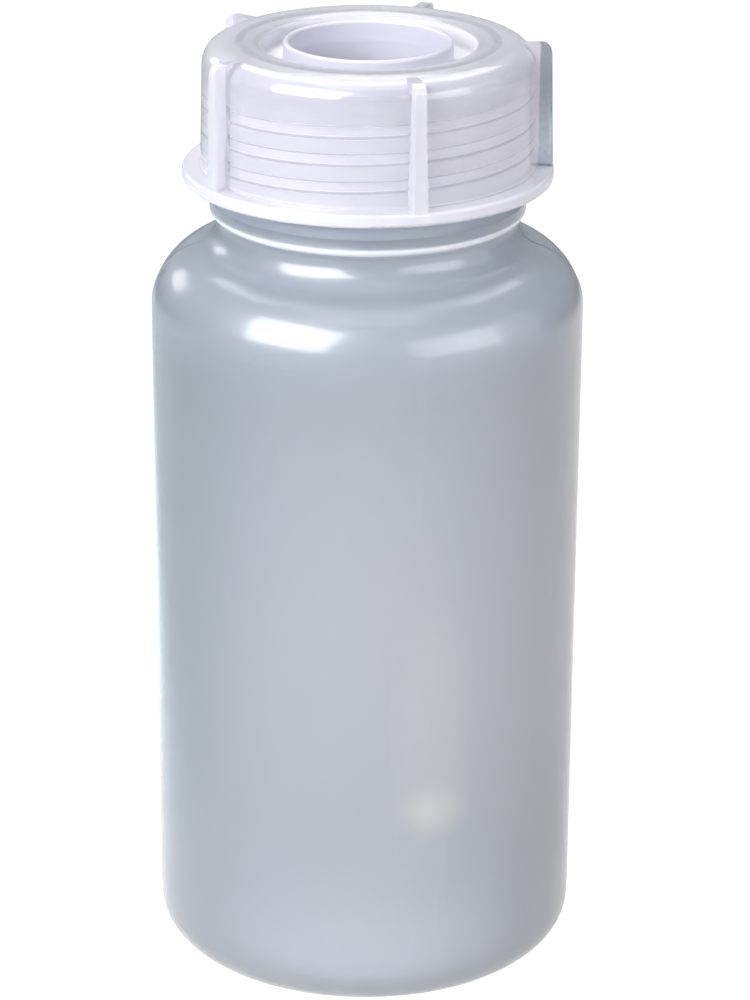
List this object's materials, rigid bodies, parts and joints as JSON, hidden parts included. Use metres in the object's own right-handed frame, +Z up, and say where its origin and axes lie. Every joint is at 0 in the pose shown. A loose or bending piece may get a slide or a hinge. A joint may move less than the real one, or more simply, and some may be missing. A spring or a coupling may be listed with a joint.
{
  "type": "sample bottle",
  "caption": "Wide-neck round bottle in milky plastic for samples and reagents, closed with a ribbed, flanged screw cap.",
  "frame": {"origin": "middle of the base, on the plane the bottle stands on", "axes": "+Z up along the bottle's axis; -Y towards the viewer of the picture; the two mould seams lie on +X and -X"},
  "size_m": [0.0756, 0.0754, 0.1674],
  "materials": {
    "bottle_plastic": "smooth blown polyethylene, milky and slightly see-through, with a soft shine",
    "cap_plastic": "smooth moulded plastic, off-white with a faint lavender tint, a little light passes through"
  },
  "bodies": {
    "bottle": {"bottle": "bottle_plastic"},
    "cap": {"screw_cap": "cap_plastic"}
  },
  "joints": [
    {"name": "cap_lift", "type": "slide", "parent": "bottle", "child": "cap", "axis": [0, 0, 1], "range_m": [0, 0.06]}
  ]
}
